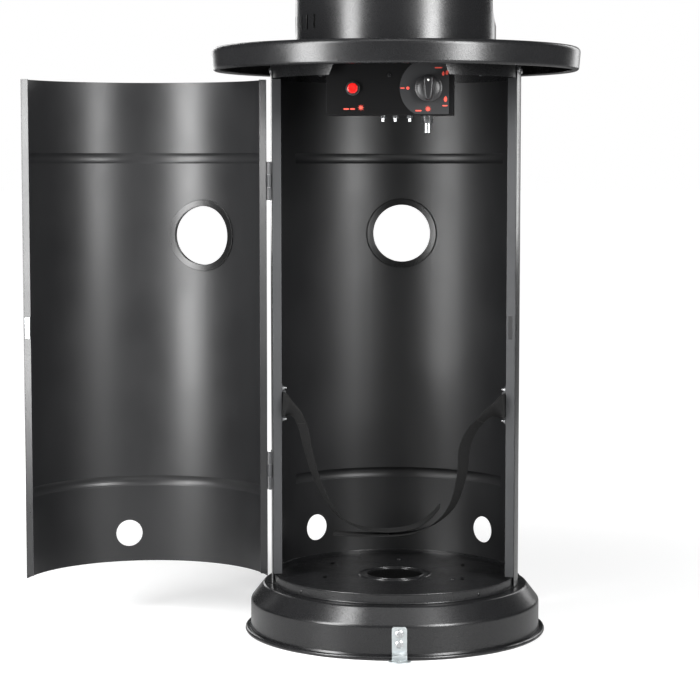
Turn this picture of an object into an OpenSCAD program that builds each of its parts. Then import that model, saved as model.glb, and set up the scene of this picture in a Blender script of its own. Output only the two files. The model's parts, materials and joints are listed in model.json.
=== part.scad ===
// Cylindrical gas patio heater: flared base, bottle cabinet with a curved door, round table,
// burner tube and reflector. Millimetres. The origin is on the ground at the centre of the base,
// +Z points up and the door opening faces -Y.

/* [Base] */
// Outer diameter of the rolled foot
foot_d = 464; // [455:1:475]
// Diameter of the base wall
base_wall_d = 446.5; // [440:0.5:450]
// Height of the flange that carries the cabinet
base_h = 74.2; // [72:0.2:78]
// Thickness of the sheet steel
sheet_t = 1.2; // [1.0:0.1:1.4]

/* [Cabinet] */
// Outer diameter of the cabinet shell and the door
cabinet_d = 382; // [378:1:384]
// Half angle of the door opening, from the front
opening_half = 75.5; // [74:0.5:78]
// Height of the upper edge of the door opening
opening_top = 848; // [840:1:850]
// Diameter of the large portholes
porthole_d = 92; // [80:1:100]
// Height of the middle of the large portholes
porthole_z = 607.5; // [560:0.5:640]
// Diameter of the small vents near the floor
vent_d = 42; // [30:1:46]
// Height of the middle of the small vents
vent_z = 133; // [125:1:150]

/* [Door] */
// Angle at which the door stands open
door_open = 172; // [0:1:172]
// Height of the door's lower edge
door_bottom = 88; // [86:1:100]
// Gap between the door and the table collar
door_top_gap = 2; // [1:0.5:6]
// Height of each hinge
hinge_h = 58; // [40:2:70]

/* [Table] */
// Largest diameter of the table rim
table_d = 561; // [540:1:600]
// Height of the table surface
table_z = 894.5; // [890:0.5:905]
// Height of the folded table rim
rim_h = 35.2; // [30:0.2:40]

/* [Controls] */
// Width of the control box
box_w = 185; // [180:1:190]
// Distance of the control box front from the heater's axis
box_front = 150; // [148:1:152]
// Height of the control box's lower edge
box_bottom = 790; // [780:1:795]
// Height of the knob and button axes
control_z = 829; // [826:1:832]
// Diameter of the gas knob
knob_d = 40; // [34:1:42]
// Diameter of the igniter button
button_d = 15; // [14:0.5:15.5]

/* [Upper part] */
// Diameter of the upper tube
tube_d = 305; // [290:1:310]
// Height of the burner deck
deck_z = 1420; // [1350:5:1500]
// Diameter of the perforated emitter
emitter_d = 190; // [170:2:200]
// Height of the perforated emitter
emitter_h = 220; // [200:5:240]
// Diameter of the reflector
reflector_d = 760; // [700:5:820]
// Height of the flat middle of the reflector
reflector_z = 1766; // [1740:2:1800]

/* [Hidden] */
$fn = 96;
eps = 0.01;
bend_swell = 1.12;
base_wall_r = base_wall_d / 2;
cabinet_r = cabinet_d / 2;
shell_in = cabinet_r - sheet_t;
collar_r = cabinet_r - 2.8;
collar_top = base_h + 15.4;
floor_z = base_h + 10.2;
door_top = opening_top - door_top_gap;
shell_top = opening_top + 32;
// Angle that the gap between the door's edges and the opening takes
edge_gap = 0.9;
flange_w = 10;
rib_half = 8;
rib_depth = 3;
rib_z = [217, 728];
rib_inset = 7.4;
// Rear vents and the door's holes, as angles from the front
vent_phi = [135, 225];
door_porthole_phi = opening_half - 103;
door_vent_phi = opening_half - 65.5;
// Screws through the shell at its foot and at its top
foot_screw_phi = [94, 137, 180, 223, 266];
foot_screw_z = base_h + 6.7;
top_screw_phi = [78, 94, 137, 180, 223, 266, 282];
top_screw_z = opening_top + 12;
rivet_phi = [-45, 45, 115, 245];
// Hinge axis, on the edge of the opening and just outside the shell
hinge_r = cabinet_r + 3.6;
hinge_xy = [-hinge_r * sin(opening_half), -hinge_r * cos(opening_half)];
hinge_z = [251, 693.5];
knuckle_r = 3;
pin_r = 1.5;
pin_gap = 0.05;
leaf_t = 1.2;
leaf_angle = 6.5;
leaf_rivet_dz = 14;
knuckle_gap = 0.4;
knuckle_cut = [hinge_h * 0.33, hinge_h * 0.67];
fixed_heights = [[0, knuckle_cut[0]], [knuckle_cut[1], hinge_h]];
door_heights = [[knuckle_cut[0] + knuckle_gap, knuckle_cut[1] - knuckle_gap]];
// Posts along the opening
post_web = 13;
post_back = 12;
post_bottom = collar_top + 1;
post_top = opening_top - 1;
magnet_z = 472;
// Ground brackets
bracket_phi = [5, 125, 245];
bracket_t = 2;
bracket_w = 22;
bracket_h = 49;
bracket_screw_z = [23.6, 38.7];
anchor_r = 242;
anchor_d = 8;
bead_r = 3.3;
// Strap anchors
anchor_z = 353.5;
anchor_half = 24;
strap_w = 36;
strap_t = 2;
post_in_r = shell_in - 0.1 - post_web;
// Controls
knob_x = 57;
button_x = -54;
panel_y = -box_front;
plate_t = 0.8;
knob_travel = 4;
button_travel = 5;
stem_r = 4;
valve_y = -127;
inlet_y = -125;
inlet_x = 54;
fitting_x = [-11.5, 6.5, 28];
pointer_y = 11;
// Table, tube and burner
table_hole_r = 120;
tube_r = tube_d / 2;
tube_foot_in = tube_r - 20;
tube_hole_d = 83;
tube_hole_z = table_z + 74;
tube_screw_r = tube_r - 11;
table_screw_r = collar_r - 7;
emitter_r = emitter_d / 2;
emitter_top = deck_z + sheet_t + emitter_h;
jet_z = deck_z - 300;
mixer_r = 15;
post_circle_r = 118;
post_phi = [60, 180, 300];
reflector_r = reflector_d / 2;

// Routes, as hand-chosen points from end to end
gas_route = [[57, -127, 852], [57, -127, 862], [57, -92, 884], [57, -92, 912],
             [0, 0, 1010], [0, 0, 1118]];
spark_route = [[-54, -95, 829], [-54, -84, 850], [-60, -84, 920], [-60, -40, 1000],
               [-60, -40, 1380], [-40, -52, 1421], [-40, -52, 1433]];
sensor_route = [[32, -127, 834], [24, -124, 837], [24, -88, 862], [24, -88, 912],
                [44, -60, 1010], [60, -40, 1080], [60, -40, 1380], [40, -52, 1421], [40, -52, 1433]];
strap_left_route = [[-171.6, -32, 353.5], [-168.6, -43.6, 353.5], [-160, -55, 351],
                    [-146, -59, 340], [-136, -57, 316],
                    [-130, -54, 286], [-116, -49, 238], [-90, -46, 189], [-58, -45, 167],
                    [-15, -44, 160], [30, -44, 166], [56, -44, 182], [71, -44, 199]];
strap_right_route = [[171.6, -32, 353.5], [168.6, -43.6, 353.5], [160, -55, 351],
                     [142, -59, 341], [121, -57, 318],
                     [109, -54, 290], [105, -49, 248], [92, -46, 203], [68, -45, 175],
                     [32, -44, 158], [-15, -44, 153], [-58, -45, 153], [-92, -46, 155]];

// ---- Helpers ----

// Points along an arc around c, from angle a to angle b
function arc(c, r, a, b, n = 8) =
    [for (i = [0 : n]) c + r * [cos(a + (b - a) * i / n), sin(a + (b - a) * i / n)]];

function unit(v) = v / norm(v);

// Direction to the left of a flat path at point i
function left_of(path, i) =
    let (d = unit(path[min(i + 1, len(path) - 1)] - path[max(i - 1, 0)])) [-d[1], d[0]];

// Outline of a thin sheet that follows a flat path, with its thickness on the left
function sheet_outline(path, t) =
    concat(path, [for (i = [len(path) - 1 : -1 : 0]) path[i] + t * left_of(path, i)]);

// A point between b and c of a smooth curve through a, b, c and d
function curve_point(a, b, c, d, u) =
    ((-u + 2 * u * u - u * u * u) * a + (2 - 5 * u * u + 3 * u * u * u) * b
     + (u + 4 * u * u - 3 * u * u * u) * c + (-u * u + u * u * u) * d) / 2;

// A smooth curve through a list of points, with n steps between neighbours
function smooth(p, n = 3) =
    let (last = len(p) - 1)
    concat([for (i = [0 : last - 1]) for (k = [0 : n - 1])
                curve_point(p[max(i - 1, 0)], p[i], p[i + 1], p[min(i + 2, last)], k / n)],
           [p[last]]);

// Turns children so that they lie at angle phi from the front, with +X pointing outward
module facing(phi) {
    rotate([0, 0, phi - 90]) children();
}

// Puts children on a wall of radius r, with +Z pointing outward
module on_wall(phi, r, z) {
    facing(phi) translate([r, 0, z]) rotate([0, 90, 0]) children();
}

// Puts children on the control box front, with +Z pointing to the user
module on_panel(x, z) {
    translate([x, panel_y, z]) rotate([90, 0, 0]) children();
}

// A curved wall between two angles and two heights
module curved_wall(r, t, from, to, z0, z1) {
    rotate([0, 0, from - 90]) translate([0, 0, z0])
        rotate_extrude(angle = to - from) translate([r - t, 0]) square([t, z1 - z0]);
}

// A pressed rib that stands proud of a curved wall, and the groove behind it
module rib(r, from, to, z) {
    rib_bow = (rib_half * rib_half + rib_depth * rib_depth) / (2 * rib_depth);
    bow_angle = asin(rib_half / rib_bow);
    rotate([0, 0, from - 90]) translate([0, 0, z])
        rotate_extrude(angle = to - from)
            polygon(concat([[r - sheet_t / 2, -rib_half]],
                           arc([r + rib_depth - rib_bow, 0], rib_bow, -bow_angle, bow_angle),
                           [[r - sheet_t / 2, rib_half]]));
}

// A cross-head screw, its head above z = 0 and its shank below
module pan_screw(head_d, head_h, shank_d, length) {
    difference() {
        union() {
            cylinder(h = head_h * 0.55, d = head_d);
            translate([0, 0, head_h * 0.55])
                cylinder(h = head_h * 0.45, d1 = head_d, d2 = head_d * 0.72);
            translate([0, 0, -length]) cylinder(h = length + eps, d = shank_d);
        }
        for (a = [0, 90]) rotate([0, 0, a])
            translate([-head_d * 0.28, -head_d * 0.06, head_h * 0.45])
                cube([head_d * 0.56, head_d * 0.12, head_h]);
    }
}

// A rivet with a domed head above z = 0 and a small closed head below
module rivet(head_d, length) {
    intersection() {
        translate([0, 0, -head_d * 0.35]) sphere(d = head_d * 1.22);
        cylinder(h = head_d, d = head_d);
    }
    translate([0, 0, -length]) cylinder(h = length + eps, d = head_d * 0.5);
    translate([0, 0, -length - head_d * 0.15]) cylinder(h = head_d * 0.15, d = head_d * 0.8);
}

module hex_nut(across, h, bore) {
    difference() {
        cylinder(h = h, d = across / cos(30), $fn = 6);
        translate([0, 0, -eps]) cylinder(h = h + 2 * eps, d = bore);
    }
}

// A bent tube through a list of points, with a slightly fuller ball at each bend
module pipe_run(points, d) {
    for (i = [0 : len(points) - 2]) {
        v = points[i + 1] - points[i];
        translate(points[i]) rotate([0, acos(v[2] / norm(v)), atan2(v[1], v[0])])
            cylinder(h = norm(v), d = d);
    }
    for (i = [1 : len(points) - 2]) translate(points[i]) sphere(d = bend_swell * d);
}

// A flat strip along a path, whose broad side turns from upright to lying
module strip(route, w, t, turn) {
    p = smooth(route);
    n = len(p) - 1;
    function along(i) = unit(p[min(i + 1, n)] - p[max(i - 1, 0)]);
    function lean(i) = min(1, max(0, (i / 3 - 0.6) / 2.6));
    function across(i) =
        let (want = (1 - lean(i)) * [0, 0, 1] + lean(i) * [turn * (1 - i / n), -1, 0],
             d = along(i))
        unit(want - (want * d) * d);
    function corner(i, a, b) =
        p[i] + a * w / 2 * across(i) + b * t / 2 * cross(along(i), across(i));
    points = [for (i = [0 : n]) each
              [corner(i, -1, -1), corner(i, 1, -1), corner(i, 1, 1), corner(i, -1, 1)]];
    sides = [for (i = [0 : n - 1]) for (k = [0 : 3])
             each [[4 * i + k, 4 * i + (k + 1) % 4, 4 * i + 4 + k],
                   [4 * i + (k + 1) % 4, 4 * i + 4 + (k + 1) % 4, 4 * i + 4 + k]]];
    ends = [[0, 3, 2], [0, 2, 1], [4 * n, 4 * n + 1, 4 * n + 2], [4 * n, 4 * n + 2, 4 * n + 3]];
    polyhedron(points, concat([for (f = sides) [f[0], f[2], f[1]]],
                              [for (f = ends) [f[0], f[2], f[1]]]), convexity = 10);
}

// ---- Base ----

module at_bracket_screws() {
    for (phi = bracket_phi) for (z = bracket_screw_z) on_wall(phi, base_wall_r, z) children();
}

module at_collar_rivets() {
    for (phi = rivet_phi) on_wall(phi, collar_r, foot_screw_z) children();
}

module at_foot_screws() {
    for (phi = foot_screw_phi) on_wall(phi, cabinet_r, foot_screw_z) children();
}

module base_pan() {
    lean = 38;
    wall_round = 8;
    top_round = 5;
    low = [base_wall_r - wall_round, 46];
    high = [base_wall_r - 22.3, base_h - top_round];
    path = concat([[foot_d / 2 - bead_r, bead_r + 0.5], [base_wall_r + 1.2, bead_r + 1.2],
                   [base_wall_r, bead_r + 5]],
                  arc(low, wall_round, 0, lean, 4), arc(high, top_round, lean, 90, 4),
                  [[cabinet_r - 20, base_h]]);
    color("#1b1c1e") difference() {
        union() {
            rotate_extrude() polygon(sheet_outline(path, sheet_t));
            rotate_extrude() translate([foot_d / 2 - bead_r, bead_r]) circle(bead_r);
        }
        at_bracket_screws() translate([0, 0, -10]) cylinder(h = 20, d = 5.2);
    }
}

module base_collar() {
    color("#232427") difference() {
        rotate_extrude() {
            translate([collar_r - sheet_t, base_h]) square([sheet_t, collar_top - base_h]);
            for (z = [base_h + 1, collar_top - 1])
                translate([collar_r - sheet_t / 2, z]) circle(1);
        }
        at_foot_screws() translate([0, 0, -10]) cylinder(h = 20, d = 4.2);
        at_collar_rivets() translate([0, 0, -10]) cylinder(h = 20, d = 3.6);
    }
}

module floor_plate() {
    rim_out = collar_r - sheet_t - 0.5;
    hole_r = 42.5;
    slots = [[-104, 80], [-106, -33], [104, 80], [106, -33]];
    bumps = [[-92, 75], [91, -40], [0, 120]];
    color("#202123") difference() {
        union() {
            translate([0, 0, floor_z - sheet_t]) cylinder(h = sheet_t, r = rim_out);
            translate([0, 0, base_h]) difference() {
                cylinder(h = floor_z - base_h, r = rim_out);
                translate([0, 0, -eps]) cylinder(h = floor_z, r = rim_out - sheet_t);
            }
            translate([0, 0, floor_z]) rotate_extrude() {
                translate([55, 0]) circle(1.6);
                translate([hole_r + 1.4, 0]) circle(1.4);
            }
            for (p = bumps) translate([p[0], p[1], floor_z - 2]) sphere(r = 5);
        }
        translate([0, 0, floor_z - 20]) cylinder(h = 40, r = hole_r);
        for (p = slots) translate([p[0], p[1], floor_z - 20]) {
            translate([-3, -9, 0]) cube([6, 18, 40]);
            for (s = [-9, 9]) translate([0, s, 0]) cylinder(h = 40, r = 3);
        }
        at_foot_screws() translate([0, 0, -14]) cylinder(h = 20, d = 4.2);
        at_collar_rivets() translate([0, 0, -10]) cylinder(h = 20, d = 3.6);
        translate([0, 0, floor_z - 20]) cylinder(h = 20 - sheet_t, r = 150);
    }
}

module ground_brackets() {
    inner = base_wall_r + 0.1;
    outer = foot_d / 2 + 0.7;
    joggle = 6;
    crest = 2 * bead_r + 0.6;
    corner = 4;
    profile = [[inner, bracket_h], [inner, crest + joggle], [outer, crest], [outer, 0],
               [outer + bracket_t, 0], [outer + bracket_t, crest + 1],
               [inner + bracket_t, crest + joggle + 1], [inner + bracket_t, bracket_h]];
    color("#c9ccce") for (phi = bracket_phi) facing(phi) difference() {
        union() {
            translate([0, bracket_w / 2, 0]) rotate([90, 0, 0])
                linear_extrude(bracket_w) polygon(profile);
            difference() {
                translate([anchor_r - 8, 0, 0]) cylinder(h = bracket_t, d = 33);
                translate([outer - 40, -20, -1]) cube([40, 40, 5]);
            }
        }
        translate([anchor_r, 0, -1]) cylinder(h = 5, d = anchor_d);
        for (z = bracket_screw_z) translate([inner - 5, 0, z]) rotate([0, 90, 0])
            cylinder(h = 10, d = 5.2);
        for (s = [-1, 1]) translate([inner - 1, s * bracket_w / 2, bracket_h])
            rotate([45, 0, 0]) translate([0, -corner / 2, -corner / 2])
                cube([bracket_t + 2, corner, corner]);
    }
}

module bracket_screws() {
    color("#d6d8da") at_bracket_screws() translate([0, 0, 0.1 + bracket_t])
        pan_screw(12, 2.6, 5, 9);
}

module bracket_nuts() {
    color("#b9bcc0") at_bracket_screws() translate([0, 0, -sheet_t - 4.2]) hex_nut(9, 4, 5.02);
}

module collar_rivets() {
    color("#303236") at_collar_rivets() rivet(5.5, 3.2);
}

// ---- Cabinet ----

module at_top_screws() {
    for (phi = top_screw_phi) on_wall(phi, cabinet_r, top_screw_z) children();
}

// Leaf rivets: side is 1 on the shell and -1 on the door
module at_leaf_rivets(side) {
    for (z = hinge_z) for (dz = [-leaf_rivet_dz, leaf_rivet_dz])
        on_wall(-opening_half - side * 4.4, cabinet_r + leaf_t, z + dz) children();
}

module rear_opening(d, depth = 30) {
    translate([0, 0, -depth]) cylinder(h = 2 * depth, d = d);
}

module cabinet_shell() {
    slot = [3, 11];
    color("#26282b") difference() {
        union() {
            curved_wall(cabinet_r, sheet_t, opening_half, 360 - opening_half, base_h + 1, shell_top);
            for (z = rib_z) rib(cabinet_r, 120, 240, z);
        }
        for (z = rib_z) rib(cabinet_r - sheet_t, 120.5, 239.5, z);
        on_wall(180, cabinet_r, porthole_z) rear_opening(porthole_d + 4);
        for (phi = vent_phi) on_wall(phi, cabinet_r, vent_z) rear_opening(vent_d);
        on_wall(opening_half + 2.2, cabinet_r, magnet_z)
            translate([-slot[1] / 2, -slot[0] / 2, -4]) cube([slot[1], slot[0], 8]);
        at_foot_screws() translate([0, 0, -4]) cylinder(h = 8, d = 4.2);
        at_top_screws() translate([0, 0, -4]) cylinder(h = 8, d = 4.2);
        at_leaf_rivets(1) translate([0, 0, -4]) cylinder(h = 8, d = 3.1);
    }
}

// A ring that grips the edge of a porthole on both sides of the sheet
module porthole_rim(phi) {
    lap = 2.2;
    difference() {
        intersection() {
            curved_wall(cabinet_r + lap, sheet_t + 2 * lap, phi - 25, phi + 25,
                        porthole_z - 80, porthole_z + 80);
            on_wall(phi, cabinet_r, porthole_z) rear_opening(porthole_d + 20);
        }
        on_wall(phi, cabinet_r, porthole_z) rear_opening(porthole_d);
        difference() {
            curved_wall(cabinet_r, sheet_t, phi - 30, phi + 30, porthole_z - 90, porthole_z + 90);
            on_wall(phi, cabinet_r, porthole_z) rear_opening(porthole_d + 4);
        }
    }
}

module rear_porthole_rim() {
    color("#2f3134") porthole_rim(180);
}

// A folded channel along one edge of the opening: outer leg, front web and inner leg
module post_channel() {
    leg_angle = 6;
    in_r = post_in_r;
    out_r = shell_in - 0.1;
    curved_wall(out_r, sheet_t, opening_half, opening_half + leg_angle, post_bottom, post_top);
    facing(opening_half) translate([in_r, 0, post_bottom])
        cube([out_r - in_r - 0.5, sheet_t, post_top - post_bottom]);
    facing(opening_half) translate([in_r, 0, post_bottom])
        cube([sheet_t, post_back, post_top - post_bottom]);
}

module at_anchor_screws(side) {
    for (dz = [-anchor_half, anchor_half])
        mirror([side < 0 ? 1 : 0, 0, 0]) facing(opening_half)
            translate([post_in_r, post_back / 2 + 0.6, anchor_z + dz]) rotate([0, -90, 0])
                children();
}

module hinge_post() {
    color("#4b4e52") difference() {
        mirror([1, 0, 0]) post_channel();
        at_anchor_screws(-1) translate([0, 0, -3]) cylinder(h = 6, d = 4.2);
        at_leaf_rivets(1) translate([0, 0, -6]) cylinder(h = 8, d = 3.1);
    }
}

module latch_post() {
    color("#4b4e52") difference() {
        post_channel();
        at_anchor_screws(1) translate([0, 0, -3]) cylinder(h = 6, d = 4.2);
        facing(opening_half) translate([post_in_r + 2.5, -1, magnet_z - 18]) cube([7, 4, 36]);
    }
}

module shell_foot_screws() {
    color("#3a3c40") at_foot_screws() pan_screw(9, 2.4, 4, 8);
}

module shell_top_screws() {
    color("#d0d3d6") at_top_screws() pan_screw(8, 2.4, 4, 6);
}

// The ring between the shell and the table, cut away in front of the control box
module top_collar() {
    r = shell_in - 0.1;
    notch_low = box_w / 2 - 4.5;
    notch_high = notch_low - 14;
    color("#26282b") difference() {
        union() {
            translate([0, 0, opening_top]) difference() {
                cylinder(h = table_z - sheet_t - opening_top, r = r);
                translate([0, 0, -1]) cylinder(h = 100, r = r - sheet_t);
            }
            translate([0, 0, table_z - 2 * sheet_t]) difference() {
                cylinder(h = sheet_t, r = r);
                translate([0, 0, -1]) cylinder(h = 4, r = r - 14);
            }
        }
        translate([0, 0, opening_top - 1]) rotate([90, 0, 0]) linear_extrude(300)
            polygon([[-notch_low, 0], [notch_low, 0], [notch_high, 32], [-notch_high, 32]]);
        at_top_screws() translate([0, 0, -8]) cylinder(h = 16, d = 4.2);
        at_table_screws() translate([0, 0, -10]) cylinder(h = 20, d = 4.2);
    }
}

// The knuckles of one hinge half, at the given heights above the hinge's lower end
module knuckles(heights, bore_r) {
    for (z = hinge_z) for (h = heights)
        translate([hinge_xy[0], hinge_xy[1], z - hinge_h / 2 + h[0]]) difference() {
            cylinder(h = h[1] - h[0], r = knuckle_r);
            translate([0, 0, -1]) cylinder(h = hinge_h, r = bore_r);
        }
}

// A leaf from the hinge axis to one side, notched where the other half's knuckles turn
module leaf(from, to, notches) {
    notch_r = knuckle_r + 1.2;
    for (z = hinge_z) difference() {
        curved_wall(cabinet_r + leaf_t, leaf_t, from, to, z - hinge_h / 2, z + hinge_h / 2);
        for (h = notches) translate([hinge_xy[0], hinge_xy[1], z - hinge_h / 2 + h[0]])
            cylinder(h = h[1] - h[0], r = notch_r);
    }
}

module fixed_hinge_leaves() {
    color("#1a1b1d") difference() {
        union() {
            knuckles(fixed_heights, pin_r);
            leaf(-opening_half - leaf_angle, -opening_half, [knuckle_cut]);
        }
        at_leaf_rivets(1) translate([0, 0, -4]) cylinder(h = 8, d = 3.1);
    }
}

module hinge_pins() {
    color("#8d9093") for (z = hinge_z)
        translate([hinge_xy[0], hinge_xy[1], z - hinge_h / 2 - 0.8])
            cylinder(h = hinge_h + 1.6, r = pin_r);
}

module fixed_leaf_rivets() {
    color("#303236") at_leaf_rivets(1) rivet(6, 3.9);
}

module door_magnet() {
    color("#2b2b2d") facing(opening_half) translate([post_in_r + 2.7, 0.1, magnet_z - 17.8])
        cube([6.6, 9, 35.6]);
}

// ---- Bottle strap ----

// A bridge loop that holds the end of a strap, with two feet on the post
module strap_anchors() {
    gap = 5;
    t = 1.6;
    foot = 11.4;
    width = 10;
    color("#2a2c2f") for (side = [-1, 1]) mirror([side < 0 ? 1 : 0, 0, 0])
        facing(opening_half) translate([post_in_r, post_back / 2 + 0.6, anchor_z]) rotate([0, -90, 0])
            difference() {
                union() {
                    for (s = [-1, 1]) {
                        translate([s * anchor_half - foot / 2, -width / 2, 0]) cube([foot, width, t]);
                        translate([s * (anchor_half - foot / 2 + t / 2) - t / 2, -width / 2, 0])
                            cube([t, width, gap + t]);
                    }
                    translate([-anchor_half + foot / 2 - t, -width / 2, gap])
                        cube([2 * anchor_half - foot + 2 * t, width, t]);
                }
                for (s = [-1, 1]) translate([s * anchor_half, 0, -1]) cylinder(h = 20, d = 4.2);
            }
}

// Screws from behind the post, with their nuts inside the cabinet
module strap_anchor_screws() {
    color("#d3d6d9") for (side = [-1, 1]) at_anchor_screws(side) {
        translate([0, 0, -sheet_t]) rotate([180, 0, 0]) pan_screw(7, 2.4, 4, 9.5);
        translate([0, 0, 1.6]) hex_nut(7, 3.2, 3.9);
    }
}

module strap_left() {
    color("#141414") strip(strap_left_route, strap_w, strap_t, 0.9);
}

module strap_right() {
    color("#141414") strip(strap_right_route, strap_w, strap_t, -0.9);
}

// ---- Table ----

module at_table_screws() {
    for (phi = [45, 135, 225, 315]) facing(phi) translate([table_screw_r, 0, table_z]) children();
}

module at_tube_screws() {
    for (phi = [60, 120, 240, 300]) facing(phi) translate([tube_screw_r, 0, table_z]) children();
}

module table_top() {
    edge = table_d / 2;
    corner = 8;
    fold = 5;
    taper = 2;
    hem = 1.3;
    low = [edge - taper - fold, table_z - rim_h + fold];
    hem_at = low + (fold - sheet_t / 2) * [cos(-150), sin(-150)];
    path = concat([[table_hole_r, table_z]],
                  arc([edge - corner, table_z - corner], corner, 90, 4),
                  arc(low, fold, -4, -150));
    color("#1d1e20") difference() {
        union() {
            rotate_extrude() polygon(sheet_outline(path, -sheet_t));
            rotate_extrude() translate(hem_at) circle(hem);
        }
        at_table_screws() translate([0, 0, -10]) cylinder(h = 20, d = 4.2);
        at_tube_screws() translate([0, 0, -10]) cylinder(h = 20, d = 4.2);
    }
}

module table_screws() {
    color("#3a3c40") at_table_screws() pan_screw(8, 2.2, 4, 6);
}

// ---- Upper tube ----

module upper_tube() {
    cuts = 6;
    cut_w = 5;
    cut_h = 22;
    cut_z = table_z + 35;
    color("#1d1e20") difference() {
        union() {
            translate([0, 0, table_z]) difference() {
                cylinder(h = deck_z - table_z, r = tube_r);
                translate([0, 0, -1]) cylinder(h = 1000, r = tube_r - sheet_t);
            }
            translate([0, 0, table_z]) difference() {
                cylinder(h = sheet_t, r = tube_r);
                translate([0, 0, -1]) cylinder(h = 4, r = tube_foot_in);
            }
        }
        for (phi = [90, 180]) on_wall(phi, tube_r, tube_hole_z) rear_opening(tube_hole_d);
        for (i = [0 : cuts - 1]) on_wall(-86 + 7.4 * i, tube_r, cut_z)
            translate([-cut_h / 2, -cut_w / 2, -4]) cube([cut_h, cut_w, 8]);
        at_tube_screws() translate([0, 0, -4]) cylinder(h = 20, d = 4.2);
        at_deck_screws() translate([0, 0, -6]) cylinder(h = 12, d = 4.2);
    }
}

module tube_screws() {
    color("#b9bcc0") at_tube_screws() translate([0, 0, sheet_t]) pan_screw(8, 2.2, 4, 7);
}

// ---- Control box ----

module at_box_screws() {
    on_panel(-1, 848) children();
    for (s = [-1, 1]) translate([s * box_w / 2, panel_y + 22, control_z + 2])
        rotate([0, s * 90, 0]) children();
}

module control_box() {
    depth = 56;
    front_top = opening_top + 32;
    top = table_z - sheet_t;
    color("#161718") difference() {
        union() {
            translate([-box_w / 2, panel_y, box_bottom])
                cube([box_w, sheet_t, front_top - box_bottom]);
            translate([-box_w / 2, panel_y, box_bottom]) cube([box_w, depth, sheet_t]);
            for (s = [0, 1]) mirror([s, 0, 0]) {
                translate([box_w / 2 - sheet_t, panel_y, box_bottom])
                    cube([sheet_t, depth, front_top - box_bottom]);
                translate([box_w / 2 - sheet_t, panel_y + 22, front_top - eps])
                    cube([sheet_t, depth - 22, top - front_top + eps]);
                translate([box_w / 2 - sheet_t, panel_y + 22, top - sheet_t])
                    cube([14, depth - 22, sheet_t]);
            }
        }
        on_panel(knob_x, control_z) translate([0, 0, -4]) cylinder(h = 8, d = 12);
        on_panel(button_x, control_z) translate([0, 0, -4]) cylinder(h = 8, d = 18);
        at_box_screws() translate([0, 0, -4]) cylinder(h = 8, d = 3.2);
        translate([inlet_x, inlet_y, box_bottom - 4]) cylinder(h = 10, d = 12.4);
        for (x = fitting_x) translate([x, inlet_y, box_bottom - 4]) cylinder(h = 10, d = 6.2);
    }
}

module box_screws() {
    color("#9a9da0") at_box_screws() pan_screw(6, 1.8, 3, 6);
}

module dial_plate() {
    r = 42.5;
    right = box_w / 2 - 6.5 - knob_x;
    color("#3b3d40") on_panel(knob_x, control_z) difference() {
        intersection() {
            union() {
                cylinder(h = plate_t, r = r);
                translate([0, -r, 0]) cube([r, 2 * r, plate_t]);
            }
            translate([-r - 1, box_bottom + 1.5 - control_z, -1]) cube([r + 1 + right, 78, 4]);
        }
        translate([0, 0, -1]) cylinder(h = 4, d = 12);
    }
}

module igniter_bezel() {
    color("#101011") on_panel(button_x, control_z) difference() {
        union() {
            cylinder(h = 2, d = 21);
            translate([0, 0, 2]) cylinder(h = 1, d1 = 21, d2 = 18.5);
            translate([0, 0, -sheet_t]) cylinder(h = sheet_t + eps, d = 17.8);
        }
        translate([0, 0, -5]) cylinder(h = 10, d = button_d + 0.1);
    }
}

module igniter_body() {
    color("#d8d8d4") on_panel(button_x, control_z) difference() {
        union() {
            translate([0, 0, -30]) cylinder(h = 30 - sheet_t, d = 19);
            translate([0, 0, -52]) cylinder(h = 22 + eps, d = 13);
            translate([0, 0, -55]) cylinder(h = 3 + eps, d = 6);
        }
        translate([0, 0, -16]) cylinder(h = 20, d = button_d + 0.1);
        translate([0, 0, -58]) cylinder(h = 6, d = 4.6);
    }
}

module igniter_button() {
    color("#d41414") on_panel(button_x, control_z) {
        translate([0, 0, -9.5]) cylinder(h = 16.5, d = button_d);
        translate([0, 0, 7]) cylinder(h = 1, d1 = button_d, d2 = button_d - 2);
    }
}

module valve_body() {
    half_w = 17;
    color("#b89a4c") difference() {
        union() {
            translate([knob_x - half_w, valve_y - 17, control_z - 20]) cube([2 * half_w, 34, 40]);
            on_panel(knob_x, control_z) translate([0, 0, -8]) cylinder(h = 8 - sheet_t, d = 18);
            translate([inlet_x, inlet_y, box_bottom + sheet_t])
                cylinder(h = control_z - box_bottom - 20, d = 15);
            translate([gas_route[0][0], gas_route[0][1], control_z + 19])
                cylinder(h = 8, d = 13 / cos(30), $fn = 6);
            translate([knob_x - half_w - 8, valve_y, control_z + 5]) rotate([0, 90, 0])
                cylinder(h = 9, d = 8);
        }
        on_panel(knob_x, control_z) translate([0, 0, -34]) cylinder(h = 40, r = stem_r + pin_gap);
        translate([inlet_x, inlet_y, box_bottom - 1]) cylinder(h = 14, d = 10);
        translate([gas_route[0][0], gas_route[0][1], gas_route[0][2] - 5]) cylinder(h = 25, d = 9);
    }
}

module valve_stem() {
    color("#c8cbce") on_panel(knob_x, control_z) translate([0, 0, -28])
        cylinder(h = 46, r = stem_r);
}

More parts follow.
